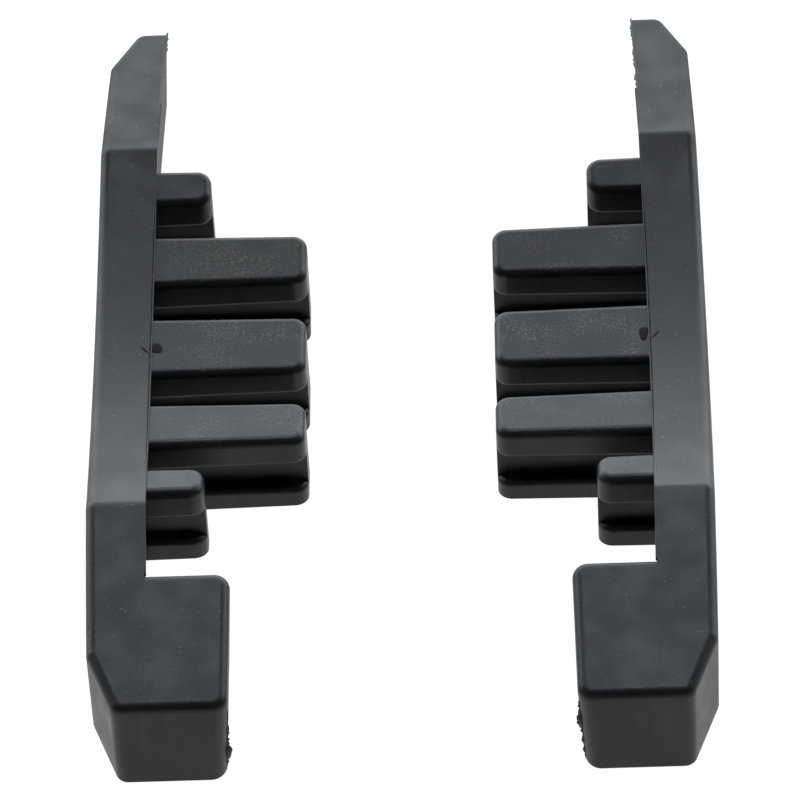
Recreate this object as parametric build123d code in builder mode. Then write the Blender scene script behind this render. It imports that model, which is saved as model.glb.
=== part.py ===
from build123d import *
import os
from math import sqrt, tan, radians

# A pair of side guards for a skate blade: two one-piece black mouldings, left- and
# right-handed.  Each is a bar (the spine) that runs along Y, with five I-section
# lugs that point inwards and one solid block at its near end.
# Millimetres, +Z up, +Y from the block end to the bare end.  The origin is on the
# surface that the pair stands on, midway between the two guards and midway along.

# ---- spine ----
guard_length = 120.0       # end to end, along Y
body_depth = 13.1          # top face to underside, the same all along the bar
spine_width = 7.0          # outer face to parting edge
spine_bow = 0.8            # how far the middle of the bar stands out past its ends
chamfer_along = 8.0        # end chamfer of the outer corners, along Y
chamfer_in = 3.1           # the same chamfer, along X
ridge_reach = 31.4         # each crest, measured from the middle
crest_radius = 2.0         # rounding of the crests, above and below
ridge_rise = 4.1           # crest above the bottom of the dish between the crests
end_fall = 5.7             # crest above the top edge of either end
corner_radius = 1.6        # upright outer corners of the spine
edge_radius = 1.2          # top edges of the spine and the end block
under_radius = 0.25        # their bottom edges
wall_draft = 3.6           # degrees, spine's inner wall and block's tip lean outwards below

# ---- lugs, from the middle one outwards ----
lug_centres = [0.0, 14.62, 26.17]    # from the middle of the guard, each way
lug_widths = [10.17, 8.2, 5.38]      # along Y, at the root
lug_reaches = [19.5, 19.5, 7.2]      # parting edge to tip
groove_depths = [2.2, 2.0, 1.5]      # grooves in the near and far faces
lug_top_step = 0.4         # lug top below the spine's top face
lug_under_step = 0.7       # lug underside above the spine's underside
upper_flange = 4.7         # thickness of the upper flange at the root
groove_height = 3.9        # open height of the grooves at the root
lip_radius = 0.7           # edges of the grooves' mouths
draft_angle = 0.7          # degrees, on every lug face that runs along X
lug_corner = 1.8           # upright corners of a lug's tip
lug_radius = 1.0           # top edges of a lug
lug_under_radius = 0.3     # bottom edges of a lug
root_overlap = 1.5         # how far a lug's root is sunk in the spine

# ---- end block ----
block_along = 18.9         # near end face to the block's far face, along Y
block_reach = 9.9          # parting edge to tip
block_corner = 1.9         # upright corners of the block's tip

# ---- how the pair lies ----
tip_gap = 23.5             # between the tips of facing middle lugs

# ---- worked out ----
half_length = guard_length / 2
end_slope = end_fall / (half_length - ridge_reach)
# the rounded foot of each end touches Z = 0, so its sharp corner would lie just below
foot = -under_radius * (end_slope + sqrt(1 + end_slope**2) - 1)
ridge_top = foot + body_depth + end_fall
ridge_under = foot + end_fall
dish_top = ridge_top - ridge_rise
dish_radius = (ridge_reach**2 + ridge_rise**2) / (2 * ridge_rise)
middle_edge = tip_gap / 2 + lug_reaches[0]  # parting edge from X = 0, at the middle
outer_face = middle_edge + spine_width
small = 0.05               # tolerance for picking edges, and for fillets that meet


def top_height(y):
    """Height of the top face: a circular dish between the crests, then straight falls."""
    if abs(y) <= ridge_reach:
        return dish_top + dish_radius - sqrt(dish_radius**2 - y**2)
    past = (abs(y) - ridge_reach) / (half_length - ridge_reach)
    return ridge_top - end_fall * past


def parting_edge(y):
    """X of the left spine's inner edge: a shallow parabola, furthest out at the middle."""
    return -middle_edge + spine_bow * (y / half_length) ** 2


def lug_section(x, near, far, top, under):
    """A four-sided section at X = x.  top and under are depths below the top face."""
    corners = [(near, top), (far, top), (far, under), (near, under)]
    with BuildSketch(Plane.YZ.offset(x)) as section:
        with BuildLine():
            Polyline(*[(y, top_height(y) - depth) for y, depth in corners], close=True)
        make_face()
    return section.sketch


def make_lug(centre, width, reach, groove):
    """One lug: a drafted block, lofted from its root inside the spine to its tip,
    with a groove along its near face and another along its far face."""
    near, far = centre - width / 2, centre + width / 2
    top, under = lug_top_step, body_depth - lug_under_step
    groove_top = lug_top_step + upper_flange
    groove_floor = groove_top + groove_height
    root = parting_edge(centre) - root_overlap
    tip = parting_edge(centre) + reach
    taken = reach * tan(radians(draft_angle))      # off each face at the tip, by the draft
    with BuildPart() as lug:
        loft([lug_section(root, near, far, top, under),
              lug_section(tip, near + taken, far - taken, top + taken, under - taken)],
             ruled=True)
        tip_face = lug.faces().sort_by(Axis.X)[-1]
        fillet(tip_face.edges().filter_by(Axis.Z), lug_corner)
        for level, radius in ((-1, lug_radius), (0, lug_under_radius)):
            flat = lug.faces().filter_by(lambda face: abs(face.normal_at().Z) > 0.5).sort_by()[level]
            rim = flat.edges().filter_by(lambda edge: edge.position_at(0.5).X > root + small)
            fillet(rim, min(radius, lug_corner - small))
        for face, inwards in ((near, 1), (far, -1)):
            mouth, web = face - inwards * groove, face + inwards * groove
            loft([lug_section(root, mouth, web, groove_top, groove_floor),
                  lug_section(tip + small, mouth, web + inwards * taken,
                              groove_top - taken, groove_floor + taken)],
                 ruled=True, mode=Mode.SUBTRACT)

        def on_lip(edge):
            """True for a straight edge along a groove's mouth."""
            middle = edge.position_at(0.5)
            on_face = abs(abs(middle.Y - centre) - width / 2) < taken + small
            depth = top_height(middle.Y) - middle.Z
            at_groove = groove_top - taken - small < depth < groove_floor + taken + small
            return on_face and at_groove and abs(edge.tangent_at(0.5).X) > 0.9

        spare = under - groove_floor - 2 * taken - lug_under_radius
        fillet(lug.edges().filter_by(on_lip), min(lip_radius, 0.6 * spare))
    return lug.part


def on_rim(edge):
    """True for an edge round the outline, not the parting edge and not a crest."""
    middle = edge.position_at(0.5)
    beside_block = middle.Y < block_along - half_length + small
    on_parting = not beside_block and abs(middle.X - parting_edge(middle.Y)) < spine_bow
    near_crest = abs(abs(middle.Y) - ridge_reach) < crest_radius
    along_crest = near_crest and abs(edge.tangent_at(0.5).X) > 0.9
    return not on_parting and not along_crest


# ---- left_guard: spine and end block are one outline in plan, cut to the side profile ----
with BuildPart() as left_guard:
    near_end, far_end = -half_length, half_length
    near_bend, far_bend = near_end + chamfer_along, far_end - chamfer_along
    inner_near = (parting_edge(near_end), near_end)
    inner_far = (parting_edge(far_end), far_end)
    outer_near = (parting_edge(near_end) - spine_width + chamfer_in, near_end)
    outer_far = (parting_edge(far_end) - spine_width + chamfer_in, far_end)
    bend_near = (parting_edge(near_bend) - spine_width, near_bend)
    bend_far = (parting_edge(far_bend) - spine_width, far_bend)
    with BuildSketch(Plane.XY.offset(foot - small)) as plan:
        with BuildLine():
            ThreePointArc(inner_near, (parting_edge(0), 0), inner_far)
            Polyline(inner_far, outer_far, bend_far)
            ThreePointArc(bend_far, (-outer_face, 0), bend_near)
            Polyline(bend_near, outer_near, inner_near)
        make_face()
        fillet(plan.vertices().sort_by(Axis.X)[:4], corner_radius)
        with Locations((inner_near[0] - root_overlap, near_end)):
            Rectangle(root_overlap + block_reach, block_along, align=(Align.MIN, Align.MIN))
    extrude(amount=ridge_top + body_depth)
    inner_wall = left_guard.faces().sort_by(lambda face: abs(face.center().X + middle_edge))[0]
    block_tip = left_guard.faces().sort_by(Axis.X)[-1]
    draft([inner_wall, block_tip], Plane.XY.offset(dish_top), -wall_draft)
    tip_edges = left_guard.faces().sort_by(Axis.X)[-1].edges()
    fillet(tip_edges.filter_by(lambda edge: abs(edge.tangent_at(0.5).Z) > 0.5), block_corner)
    near_top, far_top = (near_end, foot + body_depth), (far_end, foot + body_depth)
    near_foot, far_foot = (near_end, foot), (far_end, foot)
    with BuildSketch(Plane.YZ) as side_profile:
        with BuildLine():
            Polyline(near_foot, near_top, (-ridge_reach, ridge_top))
            ThreePointArc((-ridge_reach, ridge_top), (0, dish_top), (ridge_reach, ridge_top))
            Polyline((ridge_reach, ridge_top), far_top, far_foot, (ridge_reach, ridge_under))
            ThreePointArc((ridge_reach, ridge_under), (0, ridge_under - ridge_rise),
                          (-ridge_reach, ridge_under))
            Line((-ridge_reach, ridge_under), near_foot)
        make_face()
        crests = side_profile.vertices().filter_by(
            lambda point: abs(abs(point.X) - ridge_reach) < small)
        fillet(crests, crest_radius)
    extrude(amount=-2 * outer_face, mode=Mode.INTERSECT)
    for upwards, radius in ((1, edge_radius), (-1, under_radius)):
        flats = left_guard.faces().filter_by(lambda face: upwards * face.normal_at().Z > 0.5)
        rim = flats.edges().filter_by(on_rim)
        fillet(rim, min(radius, corner_radius - small, block_corner - small))

    # ---- left_guard: the five lugs ----
    for centre, width, reach, groove in zip(lug_centres, lug_widths, lug_reaches, groove_depths):
        near_lug = make_lug(-centre, width, reach, groove)
        add(near_lug)
        if centre:
            mirror(near_lug, about=Plane.XZ)
left_guard.part.label = "left_guard"

# ---- right_guard: the other hand ----
with BuildPart() as right_guard:
    mirror(left_guard.part, about=Plane.YZ)
right_guard.part.label = "right_guard"

os.makedirs("parts", exist_ok=True)
export_step(left_guard.part, "parts/left_guard.step")
export_step(right_guard.part, "parts/right_guard.step")
for guard in (left_guard, right_guard):
    box = guard.part.bounding_box()
    print(guard.part.label, len(guard.part.solids()), "solid", round(guard.part.volume), "mm3",
          [round(v, 2) for v in (*box.min, *box.max)])
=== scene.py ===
import bpy
import numpy as np
from mathutils import Matrix, Vector


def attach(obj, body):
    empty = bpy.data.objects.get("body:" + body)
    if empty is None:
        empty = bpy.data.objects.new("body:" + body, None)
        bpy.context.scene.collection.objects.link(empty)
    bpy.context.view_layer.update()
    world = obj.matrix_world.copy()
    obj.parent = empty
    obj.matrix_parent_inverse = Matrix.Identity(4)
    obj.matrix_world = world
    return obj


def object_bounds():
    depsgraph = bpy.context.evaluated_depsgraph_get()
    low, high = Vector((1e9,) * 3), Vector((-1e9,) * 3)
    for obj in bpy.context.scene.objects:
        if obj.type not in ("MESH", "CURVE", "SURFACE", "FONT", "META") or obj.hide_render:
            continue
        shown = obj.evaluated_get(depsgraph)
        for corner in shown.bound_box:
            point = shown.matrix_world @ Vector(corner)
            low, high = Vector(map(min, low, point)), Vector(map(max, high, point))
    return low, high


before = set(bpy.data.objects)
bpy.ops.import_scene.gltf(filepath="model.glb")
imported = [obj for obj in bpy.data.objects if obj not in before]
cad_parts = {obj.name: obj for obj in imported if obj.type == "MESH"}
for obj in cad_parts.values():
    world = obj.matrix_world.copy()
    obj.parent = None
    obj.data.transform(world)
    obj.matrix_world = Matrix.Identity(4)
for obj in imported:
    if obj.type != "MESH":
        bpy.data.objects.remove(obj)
cad_low, cad_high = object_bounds()

# ---- camera ----
# A long lens 0.79 m away, 45 degrees above the pair, turned slightly to one side and
# tilted slightly, so that the left guard stands a little lower in view than the right.
MM = 0.001
ridge_rise = 4.1 * MM                 # crest of a guard's top above the bottom of its dish
crest_loss = 0.052 * MM               # taken off the crests where they are rounded
dish_top = cad_high.z - ridge_rise + crest_loss
elevation, turn, tilt = np.radians(45.0), -0.0366, 0.0569
aim = Vector((-0.03 * MM, -11.23 * MM, dish_top))
distance = 787.65 * MM
sight = Vector((np.sin(turn) * np.cos(elevation), np.cos(turn) * np.cos(elevation),
                -np.sin(elevation)))
level = Vector((np.cos(turn), -np.sin(turn), 0.0))
upward = level.cross(sight)
right = level * np.cos(tilt) - upward * np.sin(tilt)
top = level * np.sin(tilt) + upward * np.cos(tilt)

camera = bpy.data.objects.new("camera", bpy.data.cameras.new("camera"))
camera.data.lens, camera.data.sensor_width = 287.4, 36.0
camera.data.clip_start, camera.data.clip_end = 0.05, 20.0
turned = Matrix((right, top, -sight)).transposed().to_4x4()
camera.matrix_world = Matrix.Translation(aim - sight * distance) @ turned
bpy.context.scene.collection.objects.link(camera)
bpy.context.scene.camera = camera

# ---- floor and light ----
# A white light table in a room that is bright low down behind it and dim overhead and on
# the camera's side, with one small soft lamp over the near ends.
def plane_mesh(name, half):
    """A square with sides of 2 x half at the floor's height."""
    mesh = bpy.data.meshes.new(name)
    corners = [(-half, -half, 0), (half, -half, 0), (half, half, 0), (-half, half, 0)]
    mesh.from_pydata(corners, [], [(0, 1, 2, 3)])
    return mesh


floor = bpy.data.objects.new("floor", plane_mesh("floor", 3.0))
bpy.context.scene.collection.objects.link(floor)
paper = bpy.data.materials.new("white_table")
paper.use_nodes = True
surface = paper.node_tree.nodes["Principled BSDF"]
surface.inputs["Base Color"].default_value = (0.10, 0.10, 0.10, 1)
surface.inputs["Roughness"].default_value = 0.9
surface.inputs["Emission Color"].default_value = (1.0, 0.995, 0.99, 1)
surface.inputs["Emission Strength"].default_value = 1.0
floor.data.materials.append(paper)


def soft_light(name, place, target, width, height, power, colour):
    """A rectangular area light at place that faces target."""
    lamp = bpy.data.lights.new(name, "AREA")
    lamp.shape, lamp.size, lamp.size_y = "RECTANGLE", width, height
    lamp.energy, lamp.color = power, colour
    holder = bpy.data.objects.new(name, lamp)
    holder.location = place
    holder.rotation_euler = (Vector(target) - Vector(place)).to_track_quat("-Z", "Y").to_euler()
    bpy.context.scene.collection.objects.link(holder)
    return holder


light_above = soft_light("light_above", place=(0, 0.087, 0.32), target=(0, -0.06, 0),
                         width=0.4, height=0.16, power=0.055, colour=(0.90, 0.98, 1.06))
light_above.data.spread = np.radians(30)        # a grid on the lamp keeps it off the far ends

sky = bpy.data.worlds.new("studio")
sky.use_nodes = True
bpy.context.scene.world = sky
tree = sky.node_tree
coordinate = tree.nodes.new("ShaderNodeTexCoord")
split = tree.nodes.new("ShaderNodeSeparateXYZ")
# strength = (how far behind, 0 to 4.2) x (how low down, 0 to 1) + a dim base
both = tree.nodes.new("ShaderNodeMath")
both.operation = "MULTIPLY_ADD"
both.inputs[2].default_value = 0.12
tree.links.new(coordinate.outputs["Generated"], split.inputs[0])
parts = (("Y", 0.1, 0.6, 4.2), ("Z", 0.92, 0.38, 1.0))
for index, (axis, start, end, reached) in enumerate(parts):
    ramp = tree.nodes.new("ShaderNodeMapRange")
    ramp.interpolation_type = "SMOOTHSTEP"
    ramp.inputs["From Min"].default_value, ramp.inputs["From Max"].default_value = start, end
    ramp.inputs["To Min"].default_value, ramp.inputs["To Max"].default_value = 0.0, reached
    tree.links.new(split.outputs[axis], ramp.inputs["Value"])
    tree.links.new(ramp.outputs["Result"], both.inputs[index])
tree.links.new(both.outputs[0], tree.nodes["Background"].inputs["Strength"])
tree.nodes["Background"].inputs["Color"].default_value = (0.92, 0.98, 1.03, 1)
bpy.context.scene.view_settings.view_transform = "Standard"

# ---- the two guards ----
# Each guard is one moulding of hard black polymer with a fine matt grain from its mould.
# Handling has left pale scuffs on the lugs' tops, faint drag marks on the upright faces
# and a few specks of dust.
black = bpy.data.materials.new("black_moulding")
black.use_nodes = True
nodes, links = black.node_tree.nodes, black.node_tree.links
shader = nodes["Principled BSDF"]
shader.inputs["Specular IOR Level"].default_value = 0.25
place = nodes.new("ShaderNodeTexCoord").outputs["Object"]


def noise(scale, detail, stretch=(1, 1, 1), shift=0.0):
    """Noise from 0 to 1 in object space, scale features per metre, finer along larger stretch."""
    moved = nodes.new("ShaderNodeMapping")
    moved.inputs["Scale"].default_value = stretch
    moved.inputs["Location"].default_value = (shift, shift, shift)
    texture = nodes.new("ShaderNodeTexNoise")
    texture.inputs["Scale"].default_value = scale
    texture.inputs["Detail"].default_value = detail
    links.new(place, moved.inputs["Vector"])
    links.new(moved.outputs["Vector"], texture.inputs["Vector"])
    return texture.outputs["Fac"]


def spread(value, low, high, start, end):
    """value from low..high carried smoothly to start..end, and held outside."""
    node = nodes.new("ShaderNodeMapRange")
    node.interpolation_type = "SMOOTHSTEP"
    for socket, number in zip(("From Min", "From Max", "To Min", "To Max"), (low, high, start, end)):
        node.inputs[socket].default_value = number
    links.new(value, node.inputs["Value"])
    return node.outputs["Result"]


def combine(operation, first, second):
    """One math node on a socket and a second socket or number."""
    node = nodes.new("ShaderNodeMath")
    node.operation = operation
    links.new(first, node.inputs[0])
    if isinstance(second, float):
        node.inputs[1].default_value = second
    else:
        links.new(second, node.inputs[1])
    return node.outputs[0]


def blend(amount, first, second):
    """Colours mixed by a socket: first where it is 0, second where it is 1."""
    node = nodes.new("ShaderNodeMix")
    node.data_type = "RGBA"
    links.new(amount, node.inputs["Factor"])
    for socket, colour in ((node.inputs[6], first), (node.inputs[7], second)):
        if isinstance(colour, tuple):
            socket.default_value = colour
        else:
            links.new(colour, socket)
    return node.outputs[2]


# masks: faces that look up, the lugs (inside 30 mm of the plane between the guards) and
# the middle of the length
where = nodes.new("ShaderNodeSeparateXYZ")
links.new(place, where.inputs[0])
facing = nodes.new("ShaderNodeSeparateXYZ")
links.new(nodes.new("ShaderNodeNewGeometry").outputs["Normal"], facing.inputs[0])
upwards = spread(facing.outputs["Z"], 0.6, 0.95, 0.0, 1.0)
on_lugs = spread(combine("ABSOLUTE", where.outputs["X"], 0.0), 0.029, 0.0305, 1.0, 0.12)
at_middle = spread(combine("ABSOLUTE", where.outputs["Y"], 0.0), 0.014, 0.040, 1.0, 0.15)

# slow change of tone over a few millimetres, left as the melt cooled
tone = spread(noise(140, 3), 0.3, 0.7, 0.0, 1.0)
body_colour = blend(tone, (0.007, 0.0075, 0.0078, 1), (0.0125, 0.0132, 0.0136, 1))
# rubbed patches: pale dust of fine dots, thickest on the lugs' tops
rubbed = spread(noise(95, 2, (1, 1.6, 1), 3.1), 0.42, 0.66, 0.0, 1.0)
dots = spread(noise(3300, 3), 0.44, 0.72, 0.0, 1.0)
scuffs = combine("MULTIPLY", combine("MULTIPLY", rubbed, dots),
                 combine("MULTIPLY", upwards, on_lugs))
scuffs = combine("MULTIPLY", scuffs, at_middle)
body_colour = blend(scuffs, body_colour, (0.085, 0.084, 0.078, 1))
# single specks of light dust
specks = spread(noise(2700, 0, (1, 1, 1), 7.7), 0.80, 0.83, 0.0, 0.35)
body_colour = blend(combine("MULTIPLY", specks, upwards), body_colour, (0.16, 0.155, 0.14, 1))
# faint drag marks up and down the upright faces
streaks = spread(noise(900, 2, (1, 1, 0.05)), 0.45, 0.75, 0.0, 0.22)
streaks = combine("MULTIPLY", streaks, spread(facing.outputs["Z"], 0.2, 0.5, 1.0, 0.0))
body_colour = blend(streaks, body_colour, (0.032, 0.033, 0.034, 1))
links.new(body_colour, shader.inputs["Base Color"])

roughness = spread(noise(230, 4, (1, 1, 1), 1.3), 0.25, 0.75, 0.35, 0.45)
roughness = combine("ADD", roughness, combine("MULTIPLY", scuffs, 0.2))
# the bare far ends are duller than the rest
roughness = combine("ADD", roughness, spread(where.outputs["Y"], 0.030, 0.034, 0.0, 0.16))
links.new(roughness, shader.inputs["Roughness"])

# mould grain, with shallow waves under it
fine = combine("MULTIPLY", noise(2600, 3), 0.35)
shallow = combine("MULTIPLY", noise(320, 2), 0.25)
grain = combine("ADD", fine, shallow)
relief = nodes.new("ShaderNodeBump")
relief.inputs["Strength"].default_value = 0.6
relief.inputs["Distance"].default_value = 0.00007
links.new(grain, relief.inputs["Height"])
links.new(relief.outputs["Normal"], shader.inputs["Normal"])

for name in ("left_guard", "right_guard"):
    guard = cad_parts[name]
    guard.data.materials.clear()
    guard.data.materials.append(black)

# ---- seam lands ----
# Where the two halves of the mould meet, a narrow land runs down the inner side of each
# spine, a little below the top face, with a fine gap between land and spine.  Both are
# the same moulding.  The gap is deeper in some places than in others.
guard_length = cad_high.y - cad_low.y
ridge_reach, spine_width, body_depth = 31.4 * MM, 7.0 * MM, 13.1 * MM
spine_bow, lug_top_step, block_along = 0.8 * MM, 0.4 * MM, 18.9 * MM
crest_top = dish_top + ridge_rise
end_fall = crest_top - body_depth
dish_radius = (ridge_reach ** 2 + ridge_rise ** 2) / (2 * ridge_rise)
seam_middle = cad_high.x - spine_width
block_far = cad_low.y + block_along


def top_height(y):
    """Height of a spine's top face: a circular dish between the crests, straight falls
    outside them."""
    away = np.abs(y)
    dish = dish_top + dish_radius - np.sqrt(dish_radius ** 2 - np.minimum(away, ridge_reach) ** 2)
    fall = end_fall * np.maximum(away - ridge_reach, 0) / (guard_length / 2 - ridge_reach)
    return dish - fall


def seam_x(y):
    """Distance of the parting line from the plane between the guards, largest at the middle."""
    return seam_middle - spine_bow * (2 * y / guard_length) ** 2


def ragged(count, spacing, seed):
    """Smooth random numbers from 0 to 1: one draw for every spacing points, joined by
    cosine steps."""
    draws = np.random.default_rng(seed).random(count // spacing + 3)
    spot = np.arange(count) / spacing
    before = spot.astype(int)
    share = (1 - np.cos(np.pi * (spot - before))) / 2
    return draws[before] * (1 - share) + draws[before + 1] * share


def tube(name, path, aside, upwards, profile):
    """A closed skin: at point i of the path, profile[i, j] gives corner j as its distances
    along the unit vectors aside[i] and upwards[i].  Corners run the same way at every point."""
    rows, corners = profile.shape[:2]
    points = path[:, None] + profile[..., :1] * aside[:, None] + profile[..., 1:] * upwards[:, None]
    i, j = np.meshgrid(np.arange(rows - 1), np.arange(corners), indexing="ij")
    here, beside = i * corners + j, i * corners + (j + 1) % corners
    walls = np.stack([here, beside, beside + corners, here + corners], -1).reshape(-1, 4)
    ends = [list(range(corners))[::-1], list(range((rows - 1) * corners, rows * corners))]
    mesh = bpy.data.meshes.new(name)
    mesh.from_pydata(points.reshape(-1, 3).tolist(), [], walls.tolist() + ends)
    middle = points.mean(1)
    outward = np.dot(np.cross(points[0, 1] - points[0, 0], middle[1] - middle[0]),
                     points[0, 0] - middle[0])
    if outward < 0:
        mesh.flip_normals()
    return mesh


def piece(name, mesh, body, material):
    """A new visible piece of a guard, hung from the guard's body, with the given material."""
    made = bpy.data.objects.new(name, mesh)
    bpy.context.scene.collection.objects.link(made)
    made.data.materials.append(material)
    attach(made, body)
    return made


def unit_rows(count, vector):
    """The same vector once for every point of a path."""
    return np.tile(np.array(vector, float), (count, 1))


for body, hand, seed in (("left", -1, 11), ("right", 1, 12)):
    y = np.linspace(block_far - 0.1 * MM, 42.5 * MM, 900)
    path = np.stack([hand * seam_x(y), y, top_height(y)], -1)
    gap_depth = (0.05 + 0.40 * ragged(len(y), 14, seed)) * MM
    land_top = (0.05 + 0.05 * ragged(len(y), 30, seed + 20)) * MM
    across = np.array([-0.05, 0.07, 0.11, 0.17, 0.25, 0.31, 0.33, -0.05]) * MM
    below = np.stack([gap_depth, gap_depth, land_top + 0.04 * MM, land_top, land_top,
                      land_top + 0.05 * MM, land_top + 0.55 * MM, land_top + 1.1 * MM], -1)
    profile = np.stack([np.broadcast_to(across, below.shape), -below], -1)
    mesh = tube(f"{body}_seam_land", path, unit_rows(len(y), (-hand, 0, 0)),
                unit_rows(len(y), (0, 0, 1)), profile)
    piece(f"{body}_seam_land", mesh, body, black)

# ---- torn flash ----
# Polymer that squeezed out along the parting line and was torn off: a fine broken ridge
# along the seam, and at the bare far end a ragged fringe of teeth that points inwards.
def mottled(name, dark, pale, scale, roughness):
    """A rough material that wanders between two colours, scale patches per metre, with a
    fine relief of the same pattern.  Returns the material and its shader node."""
    made = bpy.data.materials.new(name)
    made.use_nodes = True
    tree = made.node_tree
    surface = tree.nodes["Principled BSDF"]
    surface.inputs["Roughness"].default_value = roughness
    texture = tree.nodes.new("ShaderNodeTexNoise")
    texture.inputs["Scale"].default_value = scale
    texture.inputs["Detail"].default_value = 4
    mix = tree.nodes.new("ShaderNodeMix")
    mix.data_type = "RGBA"
    mix.inputs[6].default_value, mix.inputs[7].default_value = dark, pale
    relief = tree.nodes.new("ShaderNodeBump")
    relief.inputs["Distance"].default_value = 0.00005
    tree.links.new(tree.nodes.new("ShaderNodeTexCoord").outputs["Object"], texture.inputs["Vector"])
    tree.links.new(texture.outputs["Fac"], mix.inputs["Factor"])
    tree.links.new(mix.outputs[2], surface.inputs["Base Color"])
    tree.links.new(texture.outputs["Fac"], relief.inputs["Height"])
    tree.links.new(relief.outputs["Normal"], surface.inputs["Normal"])
    return made, surface


# The paler colour of the torn ridge and fringe is partly the torn polymer's own colour and partly a
# painted highlight along the seam edge.
torn, _ = mottled("torn_edge_and_highlight", (0.015, 0.016, 0.016, 1), (0.085, 0.086, 0.084, 1), 1800, 0.75)

for body, hand, seed in (("left", -1, 31), ("right", 1, 32)):
    y = np.linspace(cad_low.y + 2.5 * MM, 42.0 * MM, 1500)
    path = np.stack([hand * (seam_x(y) + 0.05 * MM), y, top_height(y)], -1)
    rise = (0.13 * ragged(len(y), 5, seed) * ragged(len(y), 37, seed + 3) - 0.030) * MM
    foot = np.full_like(rise, -0.06 * MM)
    wide = 0.045 * MM
    profile = np.stack([np.stack([np.full_like(rise, w) for w in (-wide, 0.0, wide)], -1),
                        np.stack([foot, rise, foot], -1)], -1)
    mesh = tube(f"{body}_torn_ridge", path, unit_rows(len(y), (-hand, 0, 0)),
                unit_rows(len(y), (0, 0, 1)), profile)
    piece(f"{body}_torn_ridge", mesh, body, torn)

    y = np.linspace(41.5 * MM, cad_high.y - 0.15 * MM, 420)
    path = np.stack([hand * seam_x(y), y, top_height(y) - 0.10 * MM], -1)
    grow = np.clip((y - 41.5 * MM) / (2 * MM), 0, 1)
    reach = grow * (0.06 + 0.34 * ragged(len(y), 9, seed + 7) * ragged(len(y), 40, seed + 8)) * MM
    thick = 0.09 * MM
    sunk = np.full_like(reach, -0.10 * MM)
    levels = [np.full_like(reach, level) for level in (thick, thick, -0.3 * thick, -thick)]
    profile = np.stack([np.stack([sunk, reach * 0.7, reach, sunk], -1), np.stack(levels, -1)], -1)
    mesh = tube(f"{body}_torn_fringe", path, unit_rows(len(y), (-hand, 0, 0)),
                unit_rows(len(y), (0, 0, 1)), profile)
    piece(f"{body}_torn_fringe", mesh, body, torn)

# ---- block flash ----
# A thin fin of the same polymer that runs down the near corner of each block's tip and
# ends in one larger nub, where more of it squeezed out.
block_reach, wall_draft, block_corner = 9.9 * MM, np.radians(3.6), 1.9 * MM
for body, hand, nub_height, seed in (("left", -1, 3.6 * MM, 51), ("right", 1, 7.2 * MM, 52)):
    z = np.linspace(0.3 * MM, 11.2 * MM, 240)
    x = seam_x(cad_low.y) - block_reach + (dish_top - z) * np.tan(wall_draft)
    y = np.full_like(z, cad_low.y + 0.75 * block_corner)
    path = np.stack([hand * (x + 0.08 * MM), y, z], -1)
    nub = np.exp(-((z - nub_height) / (1.1 * MM)) ** 2)
    fade = np.clip(np.minimum(z - 0.3 * MM, 11.2 * MM - z) / (1.0 * MM), 0, 1)
    reach = (fade * (0.10 + 0.22 * ragged(len(z), 8, seed)) + 0.42 * nub) * MM
    thick = (0.07 + 0.25 * nub) * MM
    sunk = np.full_like(reach, -0.25 * MM)
    profile = np.stack([np.stack([sunk, reach * 0.8, reach, reach * 0.8, sunk], -1),
                        np.stack([-thick, -thick * 0.6, thick * 0, thick * 0.6, thick], -1)], -1)
    mesh = tube(f"{body}_block_flash", path, unit_rows(len(z), (-hand, 0, 0)),
                unit_rows(len(z), (0, 1, 0)), profile)
    mesh.polygons.foreach_set("use_smooth", np.ones(len(mesh.polygons), bool))
    piece(f"{body}_block_flash", mesh, body, black)

# ---- gate marks ----
# The scar where the sprue was twisted off, on the root of each middle lug beside the
# seam: a rough dull blister, with a nick across the spine's edge next to it.
scar, scar_shader = mottled("gate_scar", (0.003, 0.003, 0.003, 1), (0.018, 0.019, 0.019, 1),
                            1400, 0.85)
scar_shader.inputs["Specular IOR Level"].default_value = 0.12


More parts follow.
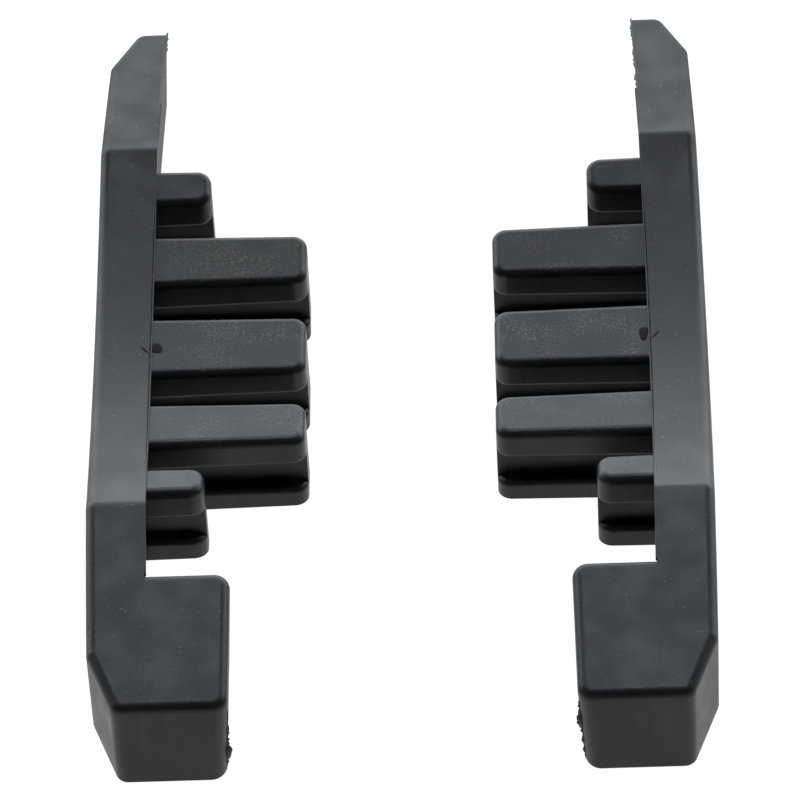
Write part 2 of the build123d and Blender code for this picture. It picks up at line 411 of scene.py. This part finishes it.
def blister(name, centre, half_sizes, seed):
    """A closed lump: a sphere of angles u and v, scaled to half_sizes and swollen or shrunk
    by up to a quarter with three slow waves in u and v."""
    u, v = np.meshgrid(np.arange(36) * np.pi / 18, np.linspace(0, np.pi, 19)[1:-1])
    waves = np.random.default_rng(seed).uniform(0, 2 * np.pi, 3)
    swell = 1 + 0.25 * np.sin(v) * (np.sin(2 * u + waves[0]) + 0.6 * np.sin(3 * u + waves[1])
                                    + 0.4 * np.sin(5 * v + waves[2])) / 2
    ring = np.stack([np.cos(u) * np.sin(v), np.sin(u) * np.sin(v), np.cos(v)], -1) * swell[..., None]
    poles = np.array([[0, 0, 1.0], [0, 0, -1.0]])
    points = np.vstack([ring.reshape(-1, 3), poles]) * half_sizes + centre
    rows, columns = u.shape
    i, j = np.meshgrid(np.arange(rows - 1), np.arange(columns), indexing="ij")
    here, beside = i * columns + j, i * columns + (j + 1) % columns
    walls = np.stack([here, here + columns, beside + columns, beside], -1).reshape(-1, 4).tolist()
    j = np.arange(columns)
    last = (rows - 1) * columns
    caps = [[rows * columns, int(a), int(b)] for a, b in zip(j, (j + 1) % columns)]
    caps += [[rows * columns + 1, int(b), int(a)] for a, b in zip(last + j, last + (j + 1) % columns)]
    mesh = bpy.data.meshes.new(name)
    mesh.from_pydata(points.tolist(), [], walls + caps)
    mesh.polygons.foreach_set("use_smooth", np.ones(len(mesh.polygons), bool))
    return mesh


for body, hand, seed in (("left", -1, 71), ("right", 1, 72)):
    lug_top = dish_top - lug_top_step
    centre = np.array([hand * (seam_middle - 0.88 * MM), -0.5 * MM, lug_top - 0.03 * MM])
    mesh = blister(f"{body}_gate_mark", centre, np.array([0.78, 1.25, 0.20]) * MM, seed)
    piece(f"{body}_gate_mark", mesh, body, scar)
    steps = np.linspace(0, 1, 24)
    y = (-0.4 - 1.4 * steps) * MM
    path = np.stack([hand * (seam_middle + (1.1 - 1.1 * steps) * MM), y, top_height(y)], -1)
    half = 0.20 * MM * np.sin(np.pi * (0.08 + 0.84 * steps))
    profile = np.stack([np.stack([-half, 0 * half, half, 0 * half], -1),
                        np.stack([0 * half, 0.25 * half, 0 * half, -half], -1)], -1)
    mesh = tube(f"{body}_gate_nick", path, unit_rows(len(y), (0.87 * -hand, 0.5, 0)),
                unit_rows(len(y), (0, 0, 1)), profile)
    piece(f"{body}_gate_nick", mesh, body, scar)
